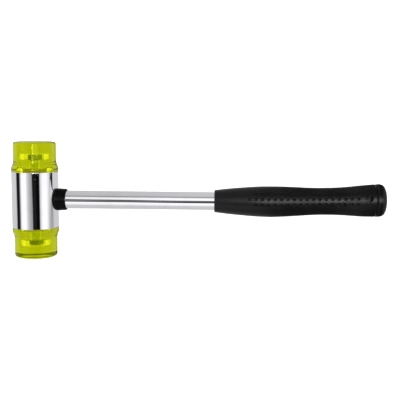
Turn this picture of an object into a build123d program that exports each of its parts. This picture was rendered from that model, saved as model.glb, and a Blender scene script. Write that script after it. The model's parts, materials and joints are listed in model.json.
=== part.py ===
from build123d import *
import math
import os

# Dead blow mallet with two screw-on faces, in millimetres.
# It lies on its side: the head axis runs along Y, and the handle runs towards +X.
# The origin is the middle of the bounding box's base.

# Head
head_radius = 17.5
head_length = 42.6
head_wall = 2.5
head_rim_chamfer = 0.3
plug_thickness = 9.0
bolt_hole_depth = 8.0
bolt_hole_mouth = 0.5

# Screw-on faces, with heights counted from the end of the head tube
face_radius = 16.0
face_height = 23.1
face_crown = 0.9
face_land_radius = 6.0
flange_height = 2.0
flare_height = 8.0
face_edge_round = 1.8
recess_radius = 9.25
recess_depth = 2.2
pocket_radius = 7.6
pocket_floor = 9.0
pocket_roof = 13.7

# M6 bolts
thread_radius = 3.0
thread_clearance = 0.05
hex_across_flats = 10.0
hex_height = 4.0
hex_crown_radius = 5.9
hex_crown_chamfer = 0.5
bolt_length = 16.0
bolt_tip_chamfer = 0.6
washer_radius = 8.9
washer_bore_radius = 3.3
washer_thickness = 1.9
washer_chamfer = 0.2

# Shot cartridge
cartridge_wall = 1.5
ball_radius = 2.6
ball_pitch = 5.25
ball_layers = 3

# Handle, with stations counted from the head axis
tube_radius = 6.83
tube_wall = 1.33
tube_end = 244.0
spigot_end = 42.0
spigot_chamfer = 1.0
neck_pin_station = 21.0
neck_pin_radius = 1.5
collar_foot = 12.5
collar_waist = 19.0
collar_end = 24.2
collar_end_radius = 8.05
collar_end_round = 0.5
collar_waist_radius = 8.4
collar_foot_radius = 9.4
end_plug_lip = 1.5
end_plug_depth = 8.0
end_plug_chamfer = 0.8

# Rubber grip
grip_start = 136.65
grip_length = 128.5
grip_front_radius = 8.5
grip_front_round = 0.5
grip_rise_radius = 10.6
grip_rise = 20.0
grip_swell_radius = 11.67
grip_swell = 43.0
grip_waist_radius = 10.2
grip_waist = 81.0
grip_flare_radius = 11.12
grip_flare = 103.5
grip_butt_radius = 12.36
grip_butt = 121.0
butt_crown = 1.2
butt_round = 4.5
groove_station = 120.6
groove_width = 1.0
groove_depth = 0.8
hang_hole_station = 251.3
hang_hole_radius = 2.5
hang_hole_turn = 22.0

# The butt is slimmer than the head, so the handle leans down until both touch the table.
grip_end = grip_start + grip_length
butt_contact = grip_end - butt_crown - butt_round
lean = math.asin((head_radius - grip_butt_radius) / butt_contact)
overall_length = head_radius + grip_end * math.cos(lean)
head_centre = Vector(head_radius - overall_length / 2, 0, head_radius)
along = Vector(math.cos(lean), 0, -math.sin(lean))
above = Vector(math.sin(lean), 0, math.cos(lean))

head_axis = Axis(head_centre, (0, 1, 0))
handle_axis = Axis(head_centre, along)
handle_profile = Plane(origin=head_centre, x_dir=along, z_dir=above)
half_length = head_length / 2
bore_radius = head_radius - head_wall
spigot_radius = tube_radius - tube_wall


def head_station(distance, side=1):
    """Plane across the head axis, facing out of the head on the given side."""
    centre = head_centre + Vector(0, side * distance, 0)
    return Plane(origin=centre, x_dir=(1, 0, 0), z_dir=(0, side, 0))


def head_profile(side):
    """Plane through the head axis, whose x runs out of the head on the given side."""
    return Plane(origin=head_centre, x_dir=(0, side, 0), z_dir=(0, 0, 1))


def handle_station(distance):
    """Plane across the handle axis, facing the butt, with its x along the head axis."""
    return Plane(origin=head_centre + along * distance, x_dir=(0, 1, 0), z_dir=along)


def save(builder, name):
    builder.part.label = name
    export_step(builder.part, f"parts/{name}.step")
    print(name, round(builder.part.volume, 1))


os.makedirs("parts", exist_ok=True)

# Head tube: open at both ends, with a side hole for the spigot
with BuildPart() as head_tube:
    with BuildSketch(head_station(-half_length)):
        Circle(head_radius)
        Circle(bore_radius, mode=Mode.SUBTRACT)
    extrude(amount=head_length)
    outer_rims = head_tube.edges().filter_by(GeomType.CIRCLE).filter_by(
        lambda edge: edge.radius > bore_radius + head_wall / 2
    )
    chamfer(outer_rims, length=head_rim_chamfer)
    with BuildSketch(handle_station(0)):
        Circle(spigot_radius)
    extrude(amount=2 * head_radius, mode=Mode.SUBTRACT)
save(head_tube, "head_tube")

# Shot cartridge: a cup closed at its left end, and the cap that seals it
chamber_half = half_length - plug_thickness
shot_radius = bore_radius - cartridge_wall
with BuildPart() as shot_cartridge:
    with BuildSketch(head_station(-chamber_half)):
        Circle(bore_radius)
    extrude(amount=2 * chamber_half - cartridge_wall)
    with BuildSketch(head_station(-chamber_half + cartridge_wall)):
        Circle(shot_radius)
    extrude(amount=2 * chamber_half, mode=Mode.SUBTRACT)
save(shot_cartridge, "shot_cartridge")

with BuildPart() as cartridge_cap:
    with BuildSketch(head_station(chamber_half - cartridge_wall)):
        Circle(bore_radius)
    extrude(amount=cartridge_wall)
save(cartridge_cap, "cartridge_cap")

# Shot charge: layers of steel balls, one in the middle, six round it and twelve round those
ball_places = [
    (ball_pitch * (column + row / 2), ball_pitch * row * math.sqrt(3) / 2)
    for row in range(-2, 3)
    for column in range(-2, 3)
    if abs(column + row) <= 2
]
with BuildPart() as shot_charge:
    for layer in range(ball_layers):
        with Locations(head_station((layer - (ball_layers - 1) / 2) * ball_pitch)):
            with Locations(*ball_places):
                Sphere(ball_radius)
save(shot_charge, "shot_charge")

# Cutter with the head's outside, for what seats against it
with BuildPart() as head_solid:
    with BuildSketch(head_station(-head_length)):
        Circle(head_radius)
    extrude(amount=2 * head_length)

# Neck: a solid spigot through the head wall, the pin that locks the tube to it, and the collar
with BuildPart() as neck_pin:
    pin_centre = head_centre + along * neck_pin_station
    with BuildSketch(Plane(origin=pin_centre, x_dir=along, z_dir=above)):
        Circle(neck_pin_radius)
    extrude(amount=tube_radius, both=True)
    with BuildSketch(handle_station(neck_pin_station - 2 * neck_pin_radius)):
        Circle(tube_radius)
    extrude(amount=4 * neck_pin_radius, mode=Mode.INTERSECT)
save(neck_pin, "neck_pin")

with BuildPart() as neck_spigot:
    with BuildSketch(handle_station(0)):
        Circle(spigot_radius)
    extrude(amount=spigot_end)
    spigot_rim = neck_spigot.edges().filter_by(GeomType.CIRCLE).sort_by(handle_axis)[-1]
    chamfer(spigot_rim, length=spigot_chamfer)
    with BuildSketch(head_station(-half_length)):
        Circle(bore_radius)
    extrude(amount=head_length, mode=Mode.SUBTRACT)
    add(neck_pin.part, mode=Mode.SUBTRACT)
save(neck_spigot, "neck_spigot")

with BuildPart() as handle_tube:
    with BuildSketch(handle_station(0)):
        Circle(tube_radius)
        Circle(spigot_radius, mode=Mode.SUBTRACT)
    extrude(amount=tube_end)
    add(head_solid.part, mode=Mode.SUBTRACT)
    add(neck_pin.part, mode=Mode.SUBTRACT)
save(handle_tube, "handle_tube")

with BuildPart() as saddle_collar:
    with BuildSketch(handle_profile):
        with BuildLine():
            Polyline((collar_end, tube_radius), (collar_end, collar_end_radius))
            Spline(
                (collar_end, collar_end_radius),
                (collar_waist, collar_waist_radius),
                (collar_foot, collar_foot_radius),
                tangents=[(-1, 0.02), (-1, 0.3)],
            )
            Polyline(
                (collar_foot, collar_foot_radius),
                (collar_foot, tube_radius),
                (collar_end, tube_radius),
            )
        make_face()
    revolve(axis=handle_axis)
    end_rims = saddle_collar.edges().filter_by(GeomType.CIRCLE).group_by(handle_axis)[-1]
    fillet(end_rims.sort_by(SortBy.RADIUS)[-1], collar_end_round)
    add(head_solid.part, mode=Mode.SUBTRACT)
save(saddle_collar, "saddle_collar")

# Handle end plug: pushed into the butt end of the tube
with BuildPart() as handle_end_plug:
    with BuildSketch(handle_station(tube_end)):
        Circle(tube_radius)
    extrude(amount=end_plug_lip)
    with BuildSketch(handle_station(tube_end)):
        Circle(spigot_radius)
    extrude(amount=-end_plug_depth)
    inner_rim = handle_end_plug.edges().filter_by(GeomType.CIRCLE).sort_by(handle_axis)[0]
    chamfer(inner_rim, length=end_plug_chamfer)
save(handle_end_plug, "handle_end_plug")

# Rubber grip: swells to the palm, narrows to a waist and flares to the butt
with BuildPart() as grip:
    with BuildSketch(handle_profile):
        with BuildLine():
            start = (grip_start, grip_front_radius)
            rise = (grip_start + grip_rise, grip_rise_radius)
            swell = (grip_start + grip_swell, grip_swell_radius)
            waist = (grip_start + grip_waist, grip_waist_radius)
            flare = (grip_start + grip_flare, grip_flare_radius)
            butt = (grip_start + grip_butt, grip_butt_radius)
            Spline(start, rise, swell, tangents=[(1, 0.13), (1, 0)])
            Spline(swell, waist, tangents=[(1, 0), (1, 0)], tangent_scalars=[0.9, 0.9])
            Spline(waist, flare, butt, tangents=[(1, 0), (1, 0)])
            Polyline(
                butt,
                (grip_end - butt_crown, grip_butt_radius),
                (grip_end, 0),
                (grip_start, 0),
                start,
            )
        make_face()
    revolve(axis=handle_axis)
    rims = grip.edges().filter_by(GeomType.CIRCLE)
    butt_rim = rims.group_by(handle_axis)[-1].sort_by(SortBy.RADIUS)[-1]
    front_rim = rims.group_by(handle_axis)[0].sort_by(SortBy.RADIUS)[-1]
    fillet(butt_rim, butt_round)
    fillet(front_rim, grip_front_round)
    with BuildSketch(handle_station(grip_start)):
        Circle(tube_radius)
    extrude(amount=tube_end + end_plug_lip - grip_start, mode=Mode.SUBTRACT)
    with BuildSketch(handle_station(grip_start + groove_station - groove_width / 2)):
        Circle(grip_butt_radius + groove_depth)
        Circle(grip_butt_radius - groove_depth, mode=Mode.SUBTRACT)
    extrude(amount=groove_width, mode=Mode.SUBTRACT)
    turn = math.radians(hang_hole_turn)
    hole_direction = above * math.cos(turn) + Vector(0, math.sin(turn), 0)
    hole_centre = head_centre + along * hang_hole_station
    with BuildSketch(Plane(origin=hole_centre, x_dir=along, z_dir=hole_direction)):
        Circle(hang_hole_radius)
    extrude(amount=2 * grip_butt_radius, both=True, mode=Mode.SUBTRACT)
save(grip, "grip")
print("hang hole centre", [round(value, 3) for value in hole_centre])
print("hang hole direction", [round(value, 5) for value in hole_direction])


def make_side(side, name):
    """End plug, washer, bolt and two-piece plastic face of one end of the head."""
    profile = head_profile(side)
    seat = half_length

    with BuildPart() as end_plug:
        with BuildSketch(head_station(seat - plug_thickness, side)):
            Circle(bore_radius)
        extrude(amount=plug_thickness)
        with BuildSketch(head_station(seat - bolt_hole_depth, side)):
            Circle(thread_radius + thread_clearance)
        extrude(amount=bolt_hole_depth, mode=Mode.SUBTRACT)
        mouth = end_plug.edges().filter_by(GeomType.CIRCLE).filter_by(
            lambda edge: abs(edge.center().Y) > seat - bolt_hole_mouth and edge.radius < 2 * thread_radius
        )
        chamfer(mouth, length=bolt_hole_mouth)
    save(end_plug, f"{name}_end_plug")

    with BuildPart() as face_cap:
        with BuildSketch(profile):
            with BuildLine():
                flare_start = (seat + flange_height, head_radius)
                flare_stop = (seat + flare_height, face_radius)
                rim = (seat + face_height - face_crown, face_radius)
                land = (seat + face_height, face_land_radius)
                rim_slope = 2 * face_crown / (face_radius - face_land_radius)
                Polyline((seat + pocket_roof, 0), (seat + pocket_roof, pocket_radius))
                Polyline(
                    (seat + pocket_roof, pocket_radius),
                    (seat + recess_depth, pocket_radius),
                    (seat + recess_depth, recess_radius),
                    (seat, recess_radius),
                    (seat, head_radius),
                    flare_start,
                )
                Spline(flare_start, flare_stop, tangents=[(1, -0.05), (1, 0)])
                Line(flare_stop, rim)
                Spline(rim, land, tangents=[(rim_slope, -1), (0, -1)])
                Polyline(land, (seat + face_height, 0), (seat + pocket_roof, 0))
            make_face()
        revolve(axis=head_axis)
        striking_rim = face_cap.edges().filter_by(GeomType.CIRCLE).filter_by(
            lambda edge: abs(edge.center().Y) > seat + flare_height + 1 and edge.radius > face_radius - 1
        )
        fillet(striking_rim, face_edge_round)
    save(face_cap, f"{name}_face_cap")

    with BuildPart() as face_core:
        with BuildSketch(head_station(seat + recess_depth, side)):
            Circle(pocket_radius)
            Circle(thread_radius, mode=Mode.SUBTRACT)
        extrude(amount=pocket_floor - recess_depth)
    save(face_core, f"{name}_face_core")

    with BuildPart() as face_bolt:
        with BuildSketch(head_station(seat + pocket_floor, side)):
            RegularPolygon(hex_across_flats / 2, 6, major_radius=False)
        extrude(amount=hex_height)
        with BuildSketch(profile):
            with BuildLine():
                hex_top = seat + pocket_floor + hex_height
                Polyline(
                    (seat + pocket_floor, 0),
                    (seat + pocket_floor, hex_crown_radius),
                    (hex_top - hex_crown_chamfer, hex_crown_radius),
                    (hex_top, hex_across_flats / 2),
                    (hex_top, 0),
                    close=True,
                )
            make_face()
        revolve(axis=head_axis, mode=Mode.INTERSECT)
        with BuildSketch(head_station(seat + pocket_floor - bolt_length, side)):
            Circle(thread_radius)
        extrude(amount=bolt_length)
        tip = face_bolt.edges().filter_by(GeomType.CIRCLE).sort_by(
            lambda edge: abs(edge.center().Y)
        )[0]
        chamfer(tip, length=bolt_tip_chamfer)
    save(face_bolt, f"{name}_face_bolt")

    with BuildPart() as face_washer:
        with BuildSketch(head_station(seat + (recess_depth - washer_thickness) / 2, side)):
            Circle(washer_radius)
            Circle(washer_bore_radius, mode=Mode.SUBTRACT)
        extrude(amount=washer_thickness)
        chamfer(face_washer.edges().filter_by(GeomType.CIRCLE), length=washer_chamfer)
    save(face_washer, f"{name}_face_washer")


make_side(-1, "left")
make_side(1, "right")
print("head centre", [round(value, 3) for value in head_centre])
print("lean", round(math.degrees(lean), 4), "overall length", round(overall_length, 3))
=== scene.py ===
import json
import math

import bmesh
import bpy
from mathutils import Matrix, Vector


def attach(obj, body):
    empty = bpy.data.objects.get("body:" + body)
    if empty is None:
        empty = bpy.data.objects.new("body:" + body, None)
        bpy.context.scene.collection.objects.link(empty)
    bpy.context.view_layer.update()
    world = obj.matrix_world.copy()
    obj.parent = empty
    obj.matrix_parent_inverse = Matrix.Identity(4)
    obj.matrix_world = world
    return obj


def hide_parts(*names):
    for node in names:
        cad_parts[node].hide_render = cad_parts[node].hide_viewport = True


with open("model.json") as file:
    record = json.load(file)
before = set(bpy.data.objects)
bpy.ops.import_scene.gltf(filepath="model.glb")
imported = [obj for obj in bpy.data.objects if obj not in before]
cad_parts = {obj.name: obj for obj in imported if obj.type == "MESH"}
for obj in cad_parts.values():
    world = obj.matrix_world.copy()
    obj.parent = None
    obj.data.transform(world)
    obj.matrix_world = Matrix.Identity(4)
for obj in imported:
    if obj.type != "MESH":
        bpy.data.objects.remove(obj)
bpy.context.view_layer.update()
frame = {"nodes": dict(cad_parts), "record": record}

scene = bpy.context.scene
record = frame["record"]
mountPlaces = {mount["name"]: Vector(mount["pos_m"]) for mount in record["mounts"]}
mountAxes = {mount["name"]: Vector(mount["axis"]) for mount in record["mounts"]}

# The head's middle lies halfway between the striking faces, and the handle leans from there to the hang hole
headCentre = (mountPlaces["left_striking_face"] + mountPlaces["right_striking_face"]) / 2
holeCentre = mountPlaces["hang_hole"]
lean = math.atan2(headCentre.z - holeCentre.z, holeCentre.x - headCentre.x)
along = Vector((math.cos(lean), 0, -math.sin(lean)))
above = Vector((math.sin(lean), 0, math.cos(lean)))
across = Vector((0, 1, 0))
mm = 0.001
tau = 2 * math.pi


# Places in the object

def onHandle(station, radius, angle, drift=0):
    # station runs from the head's middle towards the butt, and angle turns from the top towards +Y
    up = radius * math.cos(angle)
    side = radius * math.sin(angle) + drift
    return headCentre + (along * station + above * up + across * side) * mm


def onHead(side, station, radius, angle):
    # station runs out of the head's middle on the given side
    return headCentre + (across * side * station
                         + along * side * radius * math.sin(angle)
                         + above * radius * math.cos(angle)) * mm


def easeBetween(points, x):
    # a smooth curve through a few points, without overshoot
    if x <= points[0][0]:
        return points[0][1]
    if x >= points[-1][0]:
        return points[-1][1]
    slopes = [(b[1] - a[1]) / (b[0] - a[0]) for a, b in zip(points, points[1:])]
    tangents = [slopes[0]]
    for before, after in zip(slopes, slopes[1:]):
        tangents.append(0 if before * after <= 0 else 2 * before * after / (before + after))
    tangents.append(slopes[-1])
    for index, (a, b) in enumerate(zip(points, points[1:])):
        if x <= b[0]:
            width = b[0] - a[0]
            t = (x - a[0]) / width
            return ((2 * t ** 3 - 3 * t ** 2 + 1) * a[1] + (t ** 3 - 2 * t ** 2 + t) * width * tangents[index]
                    + (3 * t ** 2 - 2 * t ** 3) * b[1] + (t ** 3 - t ** 2) * width * tangents[index + 1])


def arc(centre, radius, start, stop, steps):
    # points of an arc in a lathe outline, with angles in degrees from the station axis
    found = []
    for step in range(steps + 1):
        turn = math.radians(start + (stop - start) * step / steps)
        found.append((centre[0] + radius * math.cos(turn), centre[1] + radius * math.sin(turn)))
    return found


# Meshes

def bridge(work, first, second):
    count = max(len(first), len(second))
    for k in range(count):
        after = (k + 1) % count
        if len(first) == 1:
            work.faces.new((first[0], second[k], second[after]))
        elif len(second) == 1:
            work.faces.new((first[k], second[0], first[after]))
        else:
            work.faces.new((first[k], second[k], second[after], first[after]))


def joinRings(work, rings):
    for first, second in zip(rings, rings[1:]):
        bridge(work, first, second)


def lathe(work, outline, place, divisions, closed=False):
    # outline holds (station, radius) points; a radius of 0 closes the shape with a fan
    rings = []
    for station, radius in outline:
        if radius < 1e-6:
            rings.append([work.verts.new(place(station, 0, 0))])
        else:
            angles = [tau * k / divisions for k in range(divisions)]
            rings.append([work.verts.new(place(station, radius, angle)) for angle in angles])
    joinRings(work, rings + rings[:1] if closed else rings)


def makePiece(name, work, material, sharpAngle=35):
    mesh = bpy.data.meshes.new(name)
    work.to_mesh(mesh)
    work.free()
    mesh.polygons.foreach_set("use_smooth", [True] * len(mesh.polygons))
    mesh.set_sharp_from_angle(angle=math.radians(sharpAngle))
    mesh.materials.append(material)
    piece = bpy.data.objects.new(name, mesh)
    scene.collection.objects.link(piece)
    return piece


def finishMesh(name, work, body, material, sharpAngle=35):
    bmesh.ops.recalc_face_normals(work, faces=work.faces)
    piece = makePiece(name, work, material, sharpAngle)
    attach(piece, body)
    return piece


# Small helpers and shader node groups for the materials

def feed(tree, socket, value):
    # value is a number or colour, or another node's output
    if isinstance(value, bpy.types.NodeSocket):
        tree.links.new(value, socket)
    else:
        socket.default_value = value


def addNode(tree, kind, inputs=None, **settings):
    node = tree.nodes.new(kind)
    for key, value in settings.items():
        setattr(node, key, value)
    for key, value in (inputs or {}).items():
        feed(tree, node.inputs[key], value)
    return node


def maths(tree, operation, a, b=0.0, c=0.0):
    return addNode(tree, "ShaderNodeMath", {0: a, 1: b, 2: c}, operation=operation).outputs[0]


def vectorMaths(tree, operation, a, b=(0, 0, 0)):
    node = addNode(tree, "ShaderNodeVectorMath", {0: a, 1: b}, operation=operation)
    return node.outputs["Value" if operation == "LENGTH" else "Vector"]


def remap(tree, value, low, high, toLow=0.0, toHigh=1.0, smooth=True):
    node = addNode(tree, "ShaderNodeMapRange",
                   {"Value": value, "From Min": low, "From Max": high, "To Min": toLow, "To Max": toHigh},
                   interpolation_type="SMOOTHSTEP" if smooth else "LINEAR")
    return node.outputs["Result"]


def mixColour(tree, factor, a, b):
    node = addNode(tree, "ShaderNodeMix", data_type="RGBA")
    for name, kind, value in (("Factor", "VALUE", factor), ("A", "RGBA", a), ("B", "RGBA", b)):
        feed(tree, [socket for socket in node.inputs if (socket.name, socket.type) == (name, kind)][0], value)
    return [socket for socket in node.outputs if socket.type == "RGBA"][0]


def noiseAt(tree, place, size, **inputs):
    scale = maths(tree, "DIVIDE", 1.0, size)
    return addNode(tree, "ShaderNodeTexNoise", {"Vector": place, "Scale": scale, **inputs}).outputs["Fac"]


def makeGroup(name, inputs, output):
    # inputs are given by name with their usual values, and each group puts out one value
    tree = bpy.data.node_groups.new(name, "ShaderNodeTree")
    for label, value in inputs.items():
        kind = "NodeSocketVector" if isinstance(value, tuple) else "NodeSocketFloat"
        tree.interface.new_socket(name=label, in_out="INPUT", socket_type=kind).default_value = value
    tree.interface.new_socket(name=output, in_out="OUTPUT", socket_type="NodeSocketFloat")
    return tree, tree.nodes.new("NodeGroupInput").outputs, tree.nodes.new("NodeGroupOutput").inputs


def placeGroup(tree, group, **values):
    return addNode(tree, "ShaderNodeGroup", values, node_tree=group).outputs[0]


def makeMottle():
    # slow and fast variation of a surface, as one mask round 0.5
    tree, given, put = makeGroup("mottle", {"Place": (0, 0, 0), "Size": 0.01, "Detail": 4.0}, "Mask")
    noise = noiseAt(tree, given["Place"], given["Size"], Detail=given["Detail"], Roughness=0.55)
    feed(tree, put["Mask"], noise)
    return tree


def makeScratches():
    # fine straight scratches in two directions, as a mask that is 1 on a scratch
    tree, given, put = makeGroup("fineScratches", {"Place": (0, 0, 0), "Spacing": 0.004, "Amount": 0.5},
                                 "Mask")
    lineWidth = 0.012
    masks = []
    for turn, stretch in (((0.3, 0.2, 0.5), (1, 0.03, 1)), ((0.1, 0.7, 1.9), (0.04, 1, 1))):
        spun = addNode(tree, "ShaderNodeMapping",
                       {"Vector": given["Place"], "Rotation": turn, "Scale": stretch})
        noise = noiseAt(tree, spun.outputs["Vector"], given["Spacing"], Detail=2.0, Distortion=0.4)
        ridge = maths(tree, "ABSOLUTE", maths(tree, "SUBTRACT", noise, 0.5))
        masks.append(remap(tree, ridge, 0.0, lineWidth, 1.0, 0.0))
    feed(tree, put["Mask"], maths(tree, "MULTIPLY", maths(tree, "MAXIMUM", *masks), given["Amount"]))
    return tree


def makeEdgeWear():
    # 1 where the surface bends sharply outwards and has been rubbed, in patches
    tree, given, put = makeGroup(
        "edgeWear", {"Place": (0, 0, 0), "Start": 0.52, "Full": 0.6, "Patch Size": 0.003}, "Mask")
    geometry = addNode(tree, "ShaderNodeNewGeometry")
    bend = remap(tree, geometry.outputs["Pointiness"], given["Start"], given["Full"])
    patchy = remap(tree, noiseAt(tree, given["Place"], given["Patch Size"], Detail=3.0), 0.35, 0.6)
    feed(tree, put["Mask"], maths(tree, "MULTIPLY", bend, patchy))
    return tree


def makeGrain():
    # the fine pebbled skin of moulded rubber and plastic, as a height
    tree, given, put = makeGroup("mouldGrain", {"Place": (0, 0, 0), "Size": 0.0004}, "Height")
    scale = maths(tree, "DIVIDE", 1.0, given["Size"])
    cells = addNode(tree, "ShaderNodeTexVoronoi", {"Vector": given["Place"], "Scale": scale},
                    feature="SMOOTH_F1")
    noise = noiseAt(tree, given["Place"], given["Size"], Detail=3.0)
    feed(tree, put["Height"], maths(tree, "ADD", cells.outputs["Distance"], noise))
    return tree


def makeTurning():
    # the close rings that a lathe tool leaves, as a height; Across is the distance over the rings
    tree, given, put = makeGroup("turningMarks", {"Across": 0.0, "Pitch": 0.0003}, "Height")
    phase = maths(tree, "MULTIPLY", maths(tree, "DIVIDE", given["Across"], given["Pitch"]), tau)
    feed(tree, put["Height"], maths(tree, "MULTIPLY_ADD", maths(tree, "SINE", phase), 0.5, 0.5))
    return tree


def makeAxisDistance():
    # how far a place lies from a straight axis
    tree, given, put = makeGroup("axisDistance", {"Place": (0, 0, 0), "Centre": (0, 0, 0), "Axis": (0, 1, 0)},
                                 "Distance")
    offset = vectorMaths(tree, "SUBTRACT", given["Place"], given["Centre"])
    away = vectorMaths(tree, "CROSS_PRODUCT", offset, given["Axis"])
    feed(tree, put["Distance"], vectorMaths(tree, "LENGTH", away))
    return tree


mottle = makeMottle()
fineScratches = makeScratches()
edgeWear = makeEdgeWear()
mouldGrain = makeGrain()
turningMarks = makeTurning()
axisDistance = makeAxisDistance()


# Materials: a bump is given as its strength and its height in metres

def startMaterial(name, shader):
    # shader holds what is the same all over the surface
    material = bpy.data.materials.new(name)
    material.use_nodes = True
    tree = material.node_tree
    tree.nodes.clear()
    principled = addNode(tree, "ShaderNodeBsdfPrincipled", shader)
    output = tree.nodes.new("ShaderNodeOutputMaterial")
    tree.links.new(principled.outputs["BSDF"], output.inputs["Surface"])
    place = tree.nodes.new("ShaderNodeTexCoord").outputs["Object"]
    return material, tree, principled.inputs, place


def linkBump(tree, surface, height, strength, distance):
    bump = addNode(tree, "ShaderNodeBump", {"Height": height, "Strength": strength, "Distance": distance})
    feed(tree, surface["Normal"], bump.outputs["Normal"])


def makeChrome():
    look = {"clean": (0.93, 0.93, 0.945, 1), "smudged": (0.885, 0.885, 0.905, 1),
            "haze": {"Size": 0.012, "Detail": 5.0}, "smudgeRange": (0.45, 0.7), "roughness": (0.012, 0.03),
            "scratches": {"Spacing": 0.006, "Amount": 0.35}, "scratchRoughness": 0.1, "bump": (0.006, 0.0005)}
    material, tree, surface, place = startMaterial("polishedChrome", {"Metallic": 1.0})
    haze = placeGroup(tree, mottle, Place=place, **look["haze"])
    smudge = remap(tree, haze, *look["smudgeRange"])
    feed(tree, surface["Base Color"], mixColour(tree, smudge, look["clean"], look["smudged"]))
    rough = remap(tree, smudge, 0, 1, *look["roughness"], smooth=False)
    scratches = placeGroup(tree, fineScratches, Place=place, **look["scratches"])
    feed(tree, surface["Roughness"], maths(tree, "MULTIPLY_ADD", scratches, look["scratchRoughness"], rough))
    linkBump(tree, surface, haze, *look["bump"])
    return material


def makeYellowPlastic():
    look = {"shader": {"Transmission Weight": 1.0, "IOR": 1.49, "Base Color": (0.81, 0.8, 0.18, 1),
                       "Specular Tint": (0.7, 0.75, 0.05, 1), "Emission Color": (0.62, 0.66, 0.0, 1),
                       "Emission Strength": 0.08},  # a faint painted glow: emission standing in for light that the plastic scatters
            "tint": (0.828, 0.852, 0.02, 1), "density": 165.0,
            "haze": {"Size": 0.009, "Detail": 3.0}, "hazeRange": (0.4, 0.75), "roughness": (0.015, 0.05),
            "scuffs": {"Spacing": 0.005, "Amount": 0.25}, "scuffRoughness": 0.1, "bump": (0.04, 0.0006)}
    material, tree, surface, place = startMaterial("clearYellowPlastic", look["shader"])
    haze = placeGroup(tree, mottle, Place=place, **look["haze"])
    rough = remap(tree, haze, *look["hazeRange"], *look["roughness"])
    scuffs = placeGroup(tree, fineScratches, Place=place, **look["scuffs"])
    feed(tree, surface["Roughness"], maths(tree, "MULTIPLY_ADD", scuffs, look["scuffRoughness"], rough))
    linkBump(tree, surface, haze, *look["bump"])
    volume = addNode(tree, "ShaderNodeVolumeAbsorption", {"Color": look["tint"], "Density": look["density"]})
    tree.links.new(volume.outputs["Volume"], tree.nodes["Material Output"].inputs["Volume"])
    return material


def makePatchy(name, look, coat=None):
    # a finish that drifts between two colours in patches, which also change its roughness
    material, tree, surface, place = startMaterial(name, look["shader"])
    patches = placeGroup(tree, mottle, Place=place, **look["patches"])
    share = remap(tree, patches, *look["patchRange"]) if "patchRange" in look else patches
    colour = mixColour(tree, share, *look["colours"])
    usual = (0.3, 0.7)  # most of the mottle lies between these
    rough = remap(tree, patches, *usual, *look["roughness"])
    if coat:
        colour = coat(tree, place, colour)
    if "wear" in look:
        wear = placeGroup(tree, edgeWear, Place=place, **look["wear"])
        colour = mixColour(tree, maths(tree, "MULTIPLY", wear, look["wearShare"]), colour, look["rubbed"])
        rough = maths(tree, "MULTIPLY_ADD", wear, look.get("wearRoughness", 0.0), rough)
    feed(tree, surface["Base Color"], colour)
    feed(tree, surface["Roughness"], rough)
    if "bump" in look:
        grained = "grainSize" in look
        height = placeGroup(tree, mouldGrain, Place=place, Size=look["grainSize"]) if grained else patches
        linkBump(tree, surface, height, *look["bump"])
    return material, tree, surface, place


def makeGripRubber():
    look = {"shader": {"IOR": 1.5, "Specular IOR Level": 0.25},
            "colours": ((0.004, 0.004, 0.0043, 1), (0.006, 0.006, 0.006, 1)),
            "rubbed": (0.012, 0.012, 0.012, 1),
            "patches": {"Size": 0.018, "Detail": 5.0}, "patchRange": (0.4, 0.75), "roughness": (0.29, 0.35),
            "wear": {"Start": 0.515, "Full": 0.56}, "wearShare": 0.6, "wearRoughness": -0.08,
            "grainSize": 0.00035, "bump": (0.22, 0.00008), "shadedHoleWall": (0.0026, 0.0029)}
    material, tree, surface, place = makePatchy("blackGripRubber", look)
    # painted shade: the hanging hole's wall, found by its distance from the hole's axis, is made near-black
    # metal, which reflects less than rubber, so the inside of the hole looks shaded
    distance = placeGroup(tree, axisDistance, Place=place, Centre=holeCentre, Axis=mountAxes["hang_hole"])
    feed(tree, surface["Metallic"], remap(tree, distance, *look["shadedHoleWall"], 1.0, 0.0))
    return material


def makePlatedSteel():
    look = {"shader": {"Metallic": 1.0}, "colours": ((0.9, 0.96, 0.96, 1), (0.8, 0.87, 0.88, 1)),
            "paintedHeadShade": (0.11, 0.22, 0.17, 1), "headShadeRange": (0.0303, 0.0307), "rubbed": (0.8, 0.88, 0.9, 1),
            "patches": {"Size": 0.002, "Detail": 6.0}, "patchRange": (0.35, 0.65), "roughness": (0.14, 0.26),
            "wear": {"Start": 0.53, "Full": 0.62}, "wearShare": 0.5, "bump": (0.1, 0.0001)}

    def shadeHeads(tree, place, colour):
        # painted shade: the bolts' heads, which lie further out along Y, are painted darker than their shanks
        parts = addNode(tree, "ShaderNodeSeparateXYZ", {"Vector": place}).outputs
        reach = maths(tree, "ABSOLUTE", parts["Y"])
        return mixColour(tree, remap(tree, reach, *look["headShadeRange"]), colour, look["paintedHeadShade"])

    return makePatchy("zincPlatedSteel", look, shadeHeads)[0]


def makeTurnedSteel():
    look = {"shader": {"Metallic": 1.0}, "colours": ((0.58, 0.57, 0.55, 1), (0.4, 0.39, 0.375, 1)),
            "patches": {"Size": 0.004, "Detail": 5.0}, "roughness": (0.26, 0.4),
            "pitch": 0.00035, "ringBump": (0.25, 0.00004)}
    material, tree, surface, place = makePatchy("turnedSteel", look)
    # the facing cut left its rings round the head's axis
    radius = placeGroup(tree, axisDistance, Place=place, Centre=headCentre, Axis=across)
    rings = placeGroup(tree, turningMarks, Across=radius, Pitch=look["pitch"])
    linkBump(tree, surface, rings, *look["ringBump"])
    return material


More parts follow.
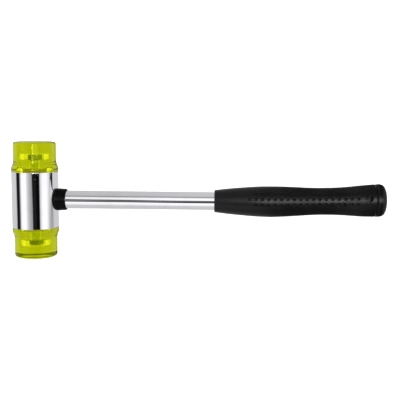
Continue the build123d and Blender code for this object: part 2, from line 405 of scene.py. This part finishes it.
simpleLooks = {
    "blackCollarPlastic": {
        "shader": {"IOR": 1.46, "Specular IOR Level": 0.07}, "rubbed": (0.012, 0.012, 0.013, 1),
        "colours": ((0.0014, 0.0014, 0.0016, 1), (0.0028, 0.0028, 0.003, 1)),
        "patches": {"Size": 0.006, "Detail": 4.0}, "patchRange": (0.4, 0.7), "roughness": (0.3, 0.4),
        "wear": {"Start": 0.52, "Full": 0.6}, "wearShare": 1.0, "grainSize": 0.0003, "bump": (0.12, 0.00005)},
    "shotSteel": {
        "shader": {"Metallic": 1.0}, "colours": ((0.5, 0.49, 0.47, 1), (0.26, 0.25, 0.24, 1)),
        "patches": {"Size": 0.0012, "Detail": 5.0}, "roughness": (0.25, 0.45), "bump": (0.15, 0.0001)},
    "whiteNylon": {
        "shader": {"IOR": 1.53, "Subsurface Weight": 0.08, "Subsurface Scale": 0.001},
        "colours": ((0.78, 0.77, 0.73, 1), (0.7, 0.68, 0.61, 1)), "patches": {"Size": 0.006, "Detail": 4.0},
        "roughness": (0.38, 0.5), "grainSize": 0.0004, "bump": (0.1, 0.00006)},
    "paleFibre": {
        "shader": {"IOR": 1.45}, "colours": ((0.52, 0.49, 0.42, 1), (0.36, 0.32, 0.26, 1)),
        "patches": {"Size": 0.0015, "Detail": 8.0}, "patchRange": (0.45, 0.7), "roughness": (0.65, 0.8),
        "grainSize": 0.00025, "bump": (0.4, 0.00008)},
}

chrome = makeChrome()
yellowPlastic = makeYellowPlastic()
gripRubber = makeGripRubber()
platedSteel = makePlatedSteel()
turnedSteel = makeTurnedSteel()
collarPlastic, shotSteel, nylon, fibre = (makePatchy(name, look)[0] for name, look in simpleLooks.items())

# CAD nodes that stay as they are and only take a finish
keptNodes = {
    "left_end_plug": turnedSteel, "right_end_plug": turnedSteel, "neck_spigot": turnedSteel,
    "neck_pin": platedSteel, "shot_charge": shotSteel, "shot_cartridge": nylon, "cartridge_cap": nylon,
    "handle_end_plug": collarPlastic, "left_face_washer": fibre, "right_face_washer": fibre,
}
for nodeName, finish in keptNodes.items():
    frame["nodes"][nodeName].data.materials.clear()
    frame["nodes"][nodeName].data.materials.append(finish)
print("materials made")


# Head tube

headTube = {"radius": 17.5, "halfLength": 21.3, "wall": 2.5, "rimRound": 0.22, "innerRound": 0.11,
            "rimSupport": 0.08, "divisions": 192}


def makeHeadTube():
    outer, inner = headTube["radius"], headTube["radius"] - headTube["wall"]
    end, small, fine = headTube["halfLength"], headTube["rimRound"], headTube["innerRound"]
    oneEnd = arc((end - small, outer - small), small, 90, 0, 5)
    oneEnd += arc((end - fine, inner + fine), fine, 0, -90, 3)
    otherEnd = [(-station, radius) for station, radius in reversed(oneEnd)]
    flat = end - small - headTube["rimSupport"]
    ribs = [flat, end / 2, 0, -end / 2, -flat]
    outline = oneEnd + [(rib, inner) for rib in ribs] + otherEnd + [(-rib, outer) for rib in ribs]
    work = bmesh.new()
    lathe(work, outline, lambda s, r, a: onHead(1, s, r, a), headTube["divisions"], closed=True)
    piece = finishMesh("headTube", work, "mallet", chrome)
    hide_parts("head_tube")


makeHeadTube()

# Handle tube

handleTube = {"radius": 6.83, "wall": 1.33, "start": 16.2, "end": 244.0, "ribs": (90, 180), "edge": 0.2,
              "divisions": 128}


def makeHandleTube():
    outer, inner = handleTube["radius"], handleTube["radius"] - handleTube["wall"]
    start, end, edge, ribs = (handleTube[key] for key in ("start", "end", "edge", "ribs"))
    outline = [(start, inner), (start, outer)] + [(rib, outer) for rib in ribs]
    outline += [(end - edge, outer), (end, outer - edge), (end, inner)]
    outline += [(rib, inner) for rib in reversed(ribs)]
    work = bmesh.new()
    lathe(work, outline, onHandle, handleTube["divisions"], closed=True)
    piece = finishMesh("handleTube", work, "mallet", chrome)
    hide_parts("handle_tube")


makeHandleTube()
print("tubes made")

# Saddle collar: a moulded sleeve whose foot is cut to the head's round

collar = {"bore": 6.86, "outline": [(12.5, 9.4), (15.6, 8.78), (19.0, 8.4), (24.2, 8.05)], "endRound": 0.5,
          "mouthBevel": 0.15, "footRound": 1.35, "roundTurns": (0, 20, 40, 60, 78), "footGap": 0.02,
          "divisions": 96, "steps": 14, "settleRounds": 12}


def saddleStation(radius, angle):
    # where a line along the handle meets the head's outside
    height = radius * math.cos(angle)
    return math.sqrt((headTube["radius"] + collar["footGap"]) ** 2 - height ** 2)


def makeCollar():
    bore, small, bevel, soft = (collar[key] for key in ("bore", "endRound", "mouthBevel", "footRound"))
    end, endRadius = collar["outline"][-1]
    angles = [tau * k / collar["divisions"] for k in range(collar["divisions"])]

    def radiusAt(station):
        return easeBetween(collar["outline"], station)

    # the outline widens towards the foot, so the foot's radius and station settle together
    footRadii = []
    for angle in angles:
        radius = collar["outline"][0][1]
        for _ in range(collar["settleRounds"]):
            radius = radiusAt(saddleStation(radius, angle))
        footRadii.append(radius)
    work = bmesh.new()
    # the flat of the saddle, then the round at its outer edge
    rings = [[work.verts.new(onHandle(saddleStation(bore, angle), bore, angle)) for angle in angles]]
    for turn in collar["roundTurns"]:
        swing = math.radians(turn)
        ring = []
        for angle, footRadius in zip(angles, footRadii):
            radius = footRadius - soft * (1 - math.sin(swing))
            station = saddleStation(radius, angle) + soft * (1 - math.cos(swing))
            ring.append(work.verts.new(onHandle(station, radius, angle)))
        rings.append(ring)
    for step in range(collar["steps"] + 1):
        ring = []
        for angle, footRadius in zip(angles, footRadii):
            foot = saddleStation(footRadius, angle) + soft
            station = foot + (end - small - foot) * step / collar["steps"]
            ring.append(work.verts.new(onHandle(station, radiusAt(station), angle)))
        rings.append(ring)
    mouth = arc((end - small, endRadius - small), small, 75, 0, 4)
    for station, radius in mouth + [(end, bore + bevel), (end - bevel, bore)]:
        rings.append([work.verts.new(onHandle(station, radius, angle)) for angle in angles])
    joinRings(work, rings + rings[:1])
    piece = finishMesh("saddleCollar", work, "mallet", collarPlastic, sharpAngle=50)
    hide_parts("saddle_collar")


makeCollar()
print("collar made")

# Screw-on faces: one clear moulding each, with the bolt's pocket as an air bubble inside it

face = {"footRadius": 17.5, "bodyRadius": 16.0, "height": 23.1, "footRound": 0.25,
        "crown": 0.9, "crownSteps": 6, "landRadius": 6.0, "flange": 2.0, "flare": 8.0, "flareSteps": 14,
        "edgeRound": 1.8, "edgeLean": 0.88, "edgeSteps": 10,
        "recessRadius": 9.25, "recessDepth": 2.2, "recessBevel": 0.2, "mouthBevel": 0.1,
        "pocketRadius": 7.6, "pocketFloor": 9.0, "pocketRoof": 13.7, "pocketRound": 0.35, "pocketRib": 0.6,
        "divisions": 160,
        # rings that keep the shading flat beside a round
        "flangeSupport": 0.3, "bodySupport": 0.4, "rimSupport": 0.1, "pocketSupport": 0.1}


def makeFace(side, name):
    foot, body, top, land = (face[key] for key in ("footRadius", "bodyRadius", "height", "landRadius"))
    small, edge, flange, flare = (face[key] for key in ("footRound", "edgeRound", "flange", "flare"))
    depth, recess, bevel, lip = (face[key] for key in ("recessDepth", "recessRadius", "recessBevel",
                                                       "mouthBevel"))
    outline = [(depth, 0), (depth, recess - bevel), (depth - bevel, recess), (lip, recess), (0, recess + lip),
               (0, (recess + foot) / 2)]
    outline += arc((small, foot - small), small, 180, 90, 3)
    outline += [(flange / 2, foot), (flange - face["flangeSupport"], foot)]
    for step in range(1, face["flareSteps"] + 1):
        t = step / face["flareSteps"]
        outline.append((flange + (flare - flange) * t, foot - (foot - body) * t * t * (3 - 2 * t)))

    def crownStation(radius):
        return top - face["crown"] * ((radius - land) / (body - land)) ** 2

    # the rim's round leans back to meet the crown, which ends in a flat land
    tilt = math.atan(2 * face["crown"] / (body - land) * face["edgeLean"])
    crownRadius = body - edge + edge * math.sin(tilt)
    rimStation = crownStation(crownRadius) - edge * math.cos(tilt)
    outline += [(flare + face["bodySupport"], body), ((flare + rimStation) / 2, body),
                (rimStation - face["rimSupport"], body)]
    outline += arc((rimStation, body - edge), edge, 90, math.degrees(tilt), face["edgeSteps"])
    for step in range(1, face["crownSteps"] + 1):
        radius = crownRadius + (land - crownRadius) * step / face["crownSteps"]
        outline.append((crownStation(radius), radius))
    outline += [(top, land / 2), (top, 0)]

    floor, roof, wall, soft = (face[key] for key in ("pocketFloor", "pocketRoof", "pocketRadius",
                                                     "pocketRound"))
    rib, inset = wall * face["pocketRib"], soft + face["pocketSupport"]
    pocket = [(floor, 0), (floor, rib)] + arc((floor + soft, wall - soft), soft, 180, 90, 4)
    pocket += [(floor + inset, wall), (roof - inset, wall)]
    pocket += arc((roof - soft, wall - soft), soft, 90, 0, 4) + [(roof, rib), (roof, 0)]

    def place(station, radius, angle):
        return onHead(side, headTube["halfLength"] + station, radius, angle)

    work = bmesh.new()
    lathe(work, outline, place, face["divisions"])
    bmesh.ops.recalc_face_normals(work, faces=work.faces)
    shellCount = len(work.faces)
    lathe(work, pocket, place, face["divisions"])
    bubble = list(work.faces)[shellCount:]
    bmesh.ops.recalc_face_normals(work, faces=bubble)
    bmesh.ops.reverse_faces(work, faces=bubble)  # the air's side of the wall is the outside
    piece = makePiece(name, work, yellowPlastic)
    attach(piece, "left_face" if side < 0 else "right_face")
    sideName = "left" if side < 0 else "right"
    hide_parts(sideName + "_face_cap", sideName + "_face_core")


makeFace(-1, "leftFace")
makeFace(1, "rightFace")
print("faces made")

# Bolts: a hexagon head with a crowned top and a rolled thread

bolt = {"threadRadius": 2.98, "rootDepth": 0.61, "rootFlat": 0.12, "flank": 0.7, "pitch": 1.0, "length": 16.0,
        "plain": 8.2, "acrossFlats": 10.0, "headHeight": 4.0, "crownRadius": 4.9, "crownDrop": 0.55,
        "crownRings": (0.6, 0.97), "seatBevel": 0.12, "neckRound": 0.3, "tipChamfer": 0.7, "runOut": 0.8,
        "tipFade": 0.2, "divisions": 48, "stepsPerTurn": 10}


def hexRadius(angle, flats):
    # distance from the axis to the hexagon's side; a flat faces the top
    sector = math.radians(60)
    return flats / 2 / math.cos((angle + sector / 2) % sector - sector / 2)


def makeBolt(side, name):
    seat = headTube["halfLength"] + face["pocketFloor"]
    angles = [tau * k / bolt["divisions"] for k in range(bolt["divisions"])]
    thread, plain, pitch, length = (bolt[key] for key in ("threadRadius", "plain", "pitch", "length"))
    crownRadius, bevel, neck = bolt["crownRadius"], bolt["seatBevel"], bolt["neckRound"]
    work = bmesh.new()
    rings = []

    def addPoint(station):
        rings.append([work.verts.new(onHead(side, seat + station, 0, 0))])

    def addRing(station, radiusOf):
        rings.append([work.verts.new(onHead(side, seat + station, radiusOf(angle), angle))
                      for angle in angles])

    # the head, from its crowned top down to the seat
    top, flats = bolt["headHeight"], bolt["acrossFlats"]
    addPoint(top)
    for share in bolt["crownRings"]:
        addRing(top, lambda angle: crownRadius * share)
    corner = flats / 2 / math.cos(math.radians(30))
    crown = []
    for angle in angles:
        radius = hexRadius(angle, flats)
        fall = bolt["crownDrop"] * (radius - crownRadius) / (corner - crownRadius)
        crown.append(work.verts.new(onHead(side, seat + top - fall, radius, angle)))
    rings.append(crown)
    for station, cut in ((top / 2, 0), (bevel, 0), (0.0, bevel)):
        addRing(station, lambda angle: hexRadius(angle, flats) - cut)
    for station, more in ((0.0, neck), (-neck, 0), (-plain / 2, 0)):
        addRing(station, lambda angle: thread + more)
    # the thread, down to its chamfered tip
    steps = int((length - plain) / pitch * bolt["stepsPerTurn"])
    for step in range(steps + 1):
        depth = plain + (length - plain) * step / steps
        fade = min(1, (depth - plain) / bolt["runOut"], (length - depth) / bolt["runOut"] + bolt["tipFade"])
        tip = max(0, bolt["tipChamfer"] - (length - depth))

        def threadAt(angle):
            turn = (depth / pitch + side * angle / tau) % 1
            climb = abs(2 * turn - 1)  # 0 at the root, 1 at the crest
            shape = min(1, max(0, (climb - bolt["rootFlat"]) / bolt["flank"]))
            return thread - bolt["rootDepth"] * (1 - shape) * fade - tip

        addRing(-depth, threadAt)
    addPoint(-length)
    joinRings(work, rings)
    sideName = "left" if side < 0 else "right"
    piece = finishMesh(name, work, sideName + "_face", platedSteel, sharpAngle=28)
    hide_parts(sideName + "_face_bolt")


makeBolt(-1, "leftBolt")
makeBolt(1, "rightBolt")
print("bolts made")

# Rubber grip: rows of dimples on both sides, a ring groove and a hanging hole

grip = {
    "start": 136.65, "length": 128.5, "tip": 0.3, "lineStep": 1.185, "around": 64,
    "firstLine": 0.55, "leadLines": 20,
    "outline": [(0, 8.42), (3.2, 8.82), (6.2, 9.2), (12.3, 9.86), (18.4, 10.38), (27.4, 11.1), (36.5, 11.56),
                (42.6, 11.67), (48.6, 11.57), (60.7, 11.04), (72.7, 10.38), (79, 10.22), (87.8, 10.28),
                (96.5, 10.64), (103, 11.12), (109, 11.66), (115, 12.04), (121, 12.3), (128.5, 12.36)],
    "drift": [(43, 0), (82, 0.74), (106, 1.2), (124, 1.9)],
    # the butt: how far each ring lies before the grip's nominal end, and its radius
    "butt": [(6.6, 12.4), (5.2, 12.4), (3.9, 12.32), (2.9, 12.1), (2.1, 11.7), (1.4, 11.1), (0.8, 10.3),
             (0.35, 9.3), (0.05, 8.0), (-0.15, 6.2), (-0.25, 4.2), (-0.3, 2.0)],
    # rows by their place round the grip and their first dimple; the rings are shares of radius and depth
    "rows": [(-1, 1), (0, 0), (1, 1)], "rowTurn": 15.0, "dimpleStart": 26.2, "dimpleCount": 18,
    "dimpleSpan": 4, "dimpleRadius": 1.05, "dimpleDepth": 1.3,
    "dimpleRings": [(1.55, 0), (1.18, 0), (1.0, 0.07), (0.9, 0.4), (0.72, 0.85), (0.36, 1.0)],
    # the hanging hole's mouth, by radius and depth below the skin
    "holeSpan": 6, "mouth": [(3.4, 0), (2.95, 0), (2.68, 0.07), (2.545, 0.22), (2.5, 0.45), (2.5, 1.6)],
    "holeShares": (0.25, 0.5, 0.75), "holeReach": 25.0, "holeTries": 40,
    # the ring groove, by distance from its middle and depth below the skin
    "groove": 120.6,
    "grooveRings": [(-1.075, 0), (-0.675, 0), (-0.595, 0.06), (-0.575, 0.2), (-0.555, 1.275), (-0.345, 1.5),
                    (0.345, 1.5), (0.555, 1.275), (0.575, 0.2), (0.595, 0.06), (0.675, 0), (1.275, 0)],
    "noseRound": 0.5,
    # the bore, by distance behind the grip's front and radius
    "bore": [(0.0, 7.09), (0.12, 6.9), (0.4, 6.84), (36, 6.84), (72, 6.84), (108.6, 6.84), (108.9, 6.54),
             (108.9, 3)],
}


def gripRadius(d):
    return easeBetween(grip["outline"], d)


def gripDrift(d):
    return easeBetween(grip["drift"], d)


def gripPoint(d, angle, sink=0):
    return onHandle(grip["start"] + d, gripRadius(d) - sink, angle, gripDrift(d))


def makeGrip():
    step, around, span, holeSpan = (grip[key] for key in ("lineStep", "around", "dimpleSpan", "holeSpan"))
    lead, count = grip["leadLines"], grip["dimpleCount"]
    turn = math.radians(grip["rowTurn"])
    angles = [turn + tau * k / around for k in range(around)]
    zoneStart = grip["dimpleStart"] - span / 2 * step
    zoneEnd = zoneStart + count * span * step
    holeAt = (holeCentre - headCentre).dot(along) / mm - grip["start"]
    holeStart = holeAt - holeSpan / 2 * step
    lines = [grip["firstLine"]] + [zoneStart * k / lead for k in range(1, lead + 1)]
    lines += [zoneStart + step * k for k in range(1, count * span + 1)]
    lines += [(zoneEnd + holeStart) / 2]
    holeLine = len(lines)
    lines += [holeStart + step * k for k in range(holeSpan + 1)]
    work = bmesh.new()
    grid = [[work.verts.new(gripPoint(d, angle)) for angle in angles] for d in lines]

    # blocks of the grid that a dimple or the hole takes over, by their first line and first division
    bothSides = (0, around // 2)
    dimples = []
    for row, firstDimple in grip["rows"]:
        for side in bothSides:
            start = (row * span + side - span // 2) % around
            dimples += [(lead + span * k, start) for k in range(firstDimple, count)]
    holeTurn = math.atan2(mountAxes["hang_hole"].dot(across), mountAxes["hang_hole"].dot(above))
    if math.cos(holeTurn) < 0:
        holeTurn += math.pi
    holeMiddle = round((holeTurn - turn) / tau * around)
    holes = [(holeLine, (holeMiddle + side - holeSpan // 2) % around) for side in bothSides]
    taken = set()
    for blocks, size in ((dimples, span), (holes, holeSpan)):
        for line, first in blocks:
            taken |= {(line + i, (first + j) % around) for i in range(size) for j in range(size)}
    for line in range(len(lines) - 1):
        for k in range(around):
            if (line, k) not in taken:
                after = (k + 1) % around
                work.faces.new((grid[line][k], grid[line + 1][k], grid[line + 1][after], grid[line][after]))

    def blockRim(line, first, size):
        # the block's outer vertices in order, each with its direction from the block's middle
        path = [(0, j) for j in range(size)] + [(i, size) for i in range(size)]
        path += [(size, j) for j in range(size, 0, -1)] + [(i, 0) for i in range(size, 0, -1)]
        rim, ways = [], []
        for i, j in path:
            rim.append(grid[line + i][(first + j) % around])
            reach = math.hypot(i - size / 2, j - size / 2)
            ways.append(((i - size / 2) / reach, (j - size / 2) / reach))
        return rim, ways

    radius, depth = grip["dimpleRadius"], grip["dimpleDepth"]
    for line, first in dimples:
        rim, ways = blockRim(line, first, span)
        middle = lines[line + span // 2]
        centreAngle = turn + tau * (first + span // 2) / around
        rings = [rim]
        for share, sink in grip["dimpleRings"]:
            ring = []
            for x, y in ways:
                angle = centreAngle + y * radius * share / gripRadius(middle)
                ring.append(work.verts.new(gripPoint(middle + x * radius * share, angle, sink * depth)))
            rings.append(ring)
        rings.append([work.verts.new(gripPoint(middle, centreAngle, depth))])
        joinRings(work, rings)

    # the hole: both mouths are found on the rubber's own outside, then joined by a straight tube
    holeAxis = above * math.cos(holeTurn) + across * math.sin(holeTurn)
    holeSide = across * math.cos(holeTurn) - above * math.sin(holeTurn)

    def mouthPoint(direction, x, y, sink):
        # slides a point of the tube's wall along the hole until it meets the outside
        base = headCentre + (along * (grip["start"] + holeAt + x) + holeSide * y) * mm
        low, high = 0.0, grip["holeReach"]
        for _ in range(grip["holeTries"]):
            reach = (low + high) / 2
            offset = (base + holeAxis * direction * reach * mm - headCentre) / mm
            d = offset.dot(along) - grip["start"]
            away = math.hypot(offset.dot(above), offset.dot(across) - gripDrift(d))
            low, high = (reach, high) if away < gripRadius(d) - sink else (low, reach)
        return base + holeAxis * direction * low * mm

    mouths = []
    for direction, (line, first) in zip((1, -1), holes):
        rim, ways = blockRim(line, first, holeSpan)
        rings = [rim]
        for away, sink in grip["mouth"]:
            rings.append([work.verts.new(mouthPoint(direction, x * away, direction * y * away, sink))
                          for x, y in ways])
        joinRings(work, rings)
        mouths.append(rings[-1])

    def flatPlace(vert):
        return vert.co - holeAxis * vert.co.dot(holeAxis)

    upper = mouths[0]
    lower = [min(mouths[1], key=lambda vert: (flatPlace(vert) - flatPlace(top)).length) for top in upper]
    between = [[work.verts.new(top.co.lerp(bottom.co, share)) for top, bottom in zip(upper, lower)]
               for share in grip["holeShares"]]
    joinRings(work, [upper] + between + [lower])

    def addRing(d, radius):
        return [work.verts.new(onHandle(grip["start"] + d, radius, angle, gripDrift(d))) for angle in angles]

    # behind the hole: the ring groove, then the rounded butt
    tail = [grid[-1]]
    for offset, sink in grip["grooveRings"]:
        d = grip["groove"] + offset
        tail.append(addRing(d, gripRadius(d) - sink))
    tail += [addRing(grip["length"] - back, radius) for back, radius in grip["butt"]]
    tip = grip["length"] + grip["tip"]
    tail.append([work.verts.new(onHandle(grip["start"] + tip, 0, 0, gripDrift(tip)))])
    joinRings(work, tail)

    # in front: the rounded lip, then the bore down to the plug's lip
    small = grip["noseRound"]
    lip = arc((small, gripRadius(0) - small), small, 105, 180, 4)
    nose = [grid[0]] + [addRing(d, radius) for d, radius in lip + grip["bore"]]
    nose.append([work.verts.new(onHandle(grip["start"] + grip["bore"][-1][0], 0, 0))])
    joinRings(work, nose)
    piece = finishMesh("rubberGrip", work, "mallet", gripRubber, sharpAngle=180)
    smoother = piece.modifiers.new("smoother", "SUBSURF")
    smoother.levels = 1
    smoother.render_levels = 1
    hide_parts("grip")


makeGrip()
print("grip made")


# Studio: a pale floor, a soft sky of panels and the camera

studio = {
    "floorSize": 12.0, "floorColour": (0.9, 0.9, 0.9, 1), "floorRoughness": 0.9, "floorGlow": 0.8,
    "background": (1.0, 1.0, 1.0, 1), "shade": (0.985, 0.98, 1.0),
    # brightness that the head reflects near its +Y and -Y ends, by degrees from overhead towards +X
    "headRamp": [(-180, 0.7), (-92, 0.68), (-88, 0.5), (-84.5, 0.08), (-82, 0.005), (-71, 0.007), (-67, 0.03),
                 (-64, 0.2), (-61, 0.5), (-57, 0.86), (-53, 1.08), (-31, 1.1), (-27, 0.86), (-22, 0.68),
                 (-14, 0.51), (-7, 0.42), (-1, 0.34), (2, 0.007), (16, 0.013), (23, 0.003), (35, 0.003),
                 (38, 0.48), (40.5, 0.75), (45, 0.83), (51, 1.1), (73, 1.1), (82, 0.84),
                 (98, 0.72), (99.5, 0.003), (109, 0.003), (111, 0.66), (180, 0.7)],
    "headRampLow": [(-180, 0.7), (-90, 0.64), (-86, 0.4), (-83, 0.08), (-80.5, 0.006), (-72, 0.006),
                    (-68, 0.015), (-64, 0.14), (-61, 0.4), (-58.5, 0.78), (-52, 1.06), (-31, 1.1),
                    (-26.5, 0.86), (-20, 0.66), (-13, 0.49), (-4, 0.39), (1.5, 0.3), (4, 0.008), (16, 0.015),
                    (23, 0.003), (35.5, 0.003), (38, 0.52), (40.5, 0.76), (45, 0.85), (51, 1.1), (72, 1.1),
                    (80, 0.85), (90, 0.52), (97, 0.41), (110, 0.4), (119, 0.63), (180, 0.66)],
    # brightness that the handle reflects near the collar and near the grip, by degrees towards +Y
    "handleRamp": [(-180, 0.6), (-75, 0.62), (-58, 0.85), (-42, 1.05), (-22, 1.08), (-20.5, 0.1),
                   (-18.5, 0.002), (3, 0.002), (7, 0.12), (10, 0.6), (14, 0.88), (25, 1.05), (34, 0.85),
                   (40, 0.8), (43, 0.36), (50, 0.3), (55, 0.38), (66, 0.56), (180, 0.58)],
    "handleRampFar": [(-180, 0.6), (-75, 0.64), (-62, 0.82), (-50, 1.05), (-24, 1.1),
                      (-22.5, 0.002), (5, 0.002), (6.5, 0.85), (10, 1.08), (33, 1.1), (40, 0.85),
                      (44, 0.45), (49, 0.33), (56, 0.37), (66, 0.6), (180, 0.62)],
    # and the grip, past the handle: one narrow panel, with little else round it
    "gripRamp": [(-180, 0.04), (-50, 0.01), (-7, 0.02), (-3, 5.2), (18, 5.2), (23, 0.02), (60, 0.01),
                 (180, 0.04)],
    "panelStart": (0.05, 0.2), "panelLevels": (3.4, 0.8),  # the panel fades towards the butt
    "throughPlastic": (0.94, 0.94, 0.94, 1),  # an even light behind the clear faces
    # where one reflection gives way to the next: the sky direction's X for the handle and the grip,
    # and its Y for the head
    "handleStart": (-0.3, -0.2), "handleEnds": (-0.13, -0.03), "gripStart": (0.037, 0.06),
    "gripEnd": (0.5, 0.6), "headEnds": (-0.15, -0.08), "headBand": (-0.17, -0.162, -0.07, -0.062),
}


def rampNode(tree, value, stops):
    node = addNode(tree, "ShaderNodeValToRGB", {"Fac": value})
    ramp = node.color_ramp
    ramp.interpolation = "LINEAR"
    while len(ramp.elements) > 1:
        ramp.elements.remove(ramp.elements[-1])
    for index, (degrees, level) in enumerate(stops):
        position = (degrees + 180) / 360
        element = ramp.elements[0] if index == 0 else ramp.elements.new(position)
        element.position = position
        element.color = (level, level, level, 1)
    return node.outputs["Color"]


def makeSky():
    world = bpy.data.worlds.new("softStudio")
    world.use_nodes = True
    scene.world = world
    tree = world.node_tree
    tree.nodes.clear()
    sky = tree.nodes.new("ShaderNodeTexCoord").outputs["Generated"]
    way = addNode(tree, "ShaderNodeSeparateXYZ", {"Vector": sky}).outputs

    def levels(direction, stops):
        radians = maths(tree, "ARCTAN2", way[direction], way["Z"])
        return rampNode(tree, maths(tree, "MULTIPLY_ADD", radians, 1 / tau, 0.5), studio[stops])

    high = levels("X", "headRamp")
    low = levels("X", "headRampLow")
    head = mixColour(tree, remap(tree, way["Y"], *studio["headEnds"]), low, high)
    near = levels("Y", "handleRamp")
    far = levels("Y", "handleRampFar")
    handle = mixColour(tree, remap(tree, way["X"], *studio["handleEnds"]), near, far)
    panel = levels("Y", "gripRamp")
    boost = remap(tree, way["X"], *studio["panelStart"], *studio["panelLevels"])
    gripLight = addNode(tree, "ShaderNodeVectorMath", {0: panel, "Scale": boost},
                        operation="SCALE").outputs["Vector"]
    middle = mixColour(tree, remap(tree, way["X"], *studio["gripStart"]), handle, gripLight)
    left = remap(tree, way["X"], *studio["handleStart"], 1.0, 0.0)
    right = remap(tree, way["X"], *studio["gripEnd"])
    sides = mixColour(tree, maths(tree, "MAXIMUM", left, right), middle, head)
    bandStart, bandFull, bandFade, bandEnd = studio["headBand"]
    rise = remap(tree, way["Y"], bandStart, bandFull)
    fall = remap(tree, way["Y"], bandFade, bandEnd, 1.0, 0.0)
    panels = mixColour(tree, maths(tree, "MULTIPLY", rise, fall), sides, head)
    tinted = vectorMaths(tree, "MULTIPLY", panels, studio["shade"])
    path = tree.nodes.new("ShaderNodeLightPath").outputs
    even = mixColour(tree, path["Is Transmission Ray"], tinted, studio["throughPlastic"])
    colour = mixColour(tree, path["Is Camera Ray"], even, studio["background"])
    light = addNode(tree, "ShaderNodeBackground", {"Color": colour, "Strength": 1.0})
    output = tree.nodes.new("ShaderNodeOutputWorld")
    tree.links.new(light.outputs["Background"], output.inputs["Surface"])


def makeFloor():
    size = studio["floorSize"] / 2
    mesh = bpy.data.meshes.new("floor")
    mesh.from_pydata([(-size, -size, 0), (size, -size, 0), (size, size, 0), (-size, size, 0)], [],
                     [(0, 1, 2, 3)])
    floor = bpy.data.objects.new("floor", mesh)
    scene.collection.objects.link(floor)
    shader = {"Base Color": studio["floorColour"], "Roughness": studio["floorRoughness"],
              "Specular IOR Level": 0.0, "Emission Color": (1, 1, 1, 1),
              "Emission Strength": studio["floorGlow"]}
    mesh.materials.append(startMaterial("paleFloor", shader)[0])
    floor.visible_glossy = False  # polished metal reflects the studio's own pale lower half instead


def makeCamera():
    # place is measured from the head's middle, along the handle, across it and above it, in metres
    view = {"lens": 62.08, "sensor": 36.0, "near": 0.01, "far": 50, "place": (0.13906, 0.06208, 0.51996),
            "yaw": -1.46, "pitch": 6.73, "roll": 0.48}
    data = bpy.data.cameras.new("camera")
    data.lens = view["lens"]
    data.sensor_width = view["sensor"]
    data.clip_start = view["near"]
    data.clip_end = view["far"]
    camera = bpy.data.objects.new("camera", data)
    scene.collection.objects.link(camera)
    scene.camera = camera
    # turned in a frame of its own: x along the handle, y down and z towards the right face
    yaw, pitch, roll = (math.radians(view[key]) for key in ("yaw", "pitch", "roll"))
    forward = Vector((math.sin(yaw) * math.cos(pitch), math.cos(yaw) * math.cos(pitch), -math.sin(pitch)))
    right = forward.cross(Vector((0, 0, 1))).normalized()
    up = right.cross(forward)
    rolledRight = right * math.cos(roll) + up * math.sin(roll)
    rolledUp = up * math.cos(roll) - right * math.sin(roll)

    def toWorld(v):
        return along * v.x + across * v.z - above * v.y

    turned = Matrix([toWorld(rolledRight), toWorld(rolledUp), toWorld(-forward)]).transposed()
    x, y, z = view["place"]
    place = headCentre + along * x + across * y + above * z
    camera.matrix_world = Matrix.Translation(place) @ turned.to_4x4()


makeSky()
makeFloor()
makeCamera()
scene.view_settings.view_transform = "Standard"
print("studio made")
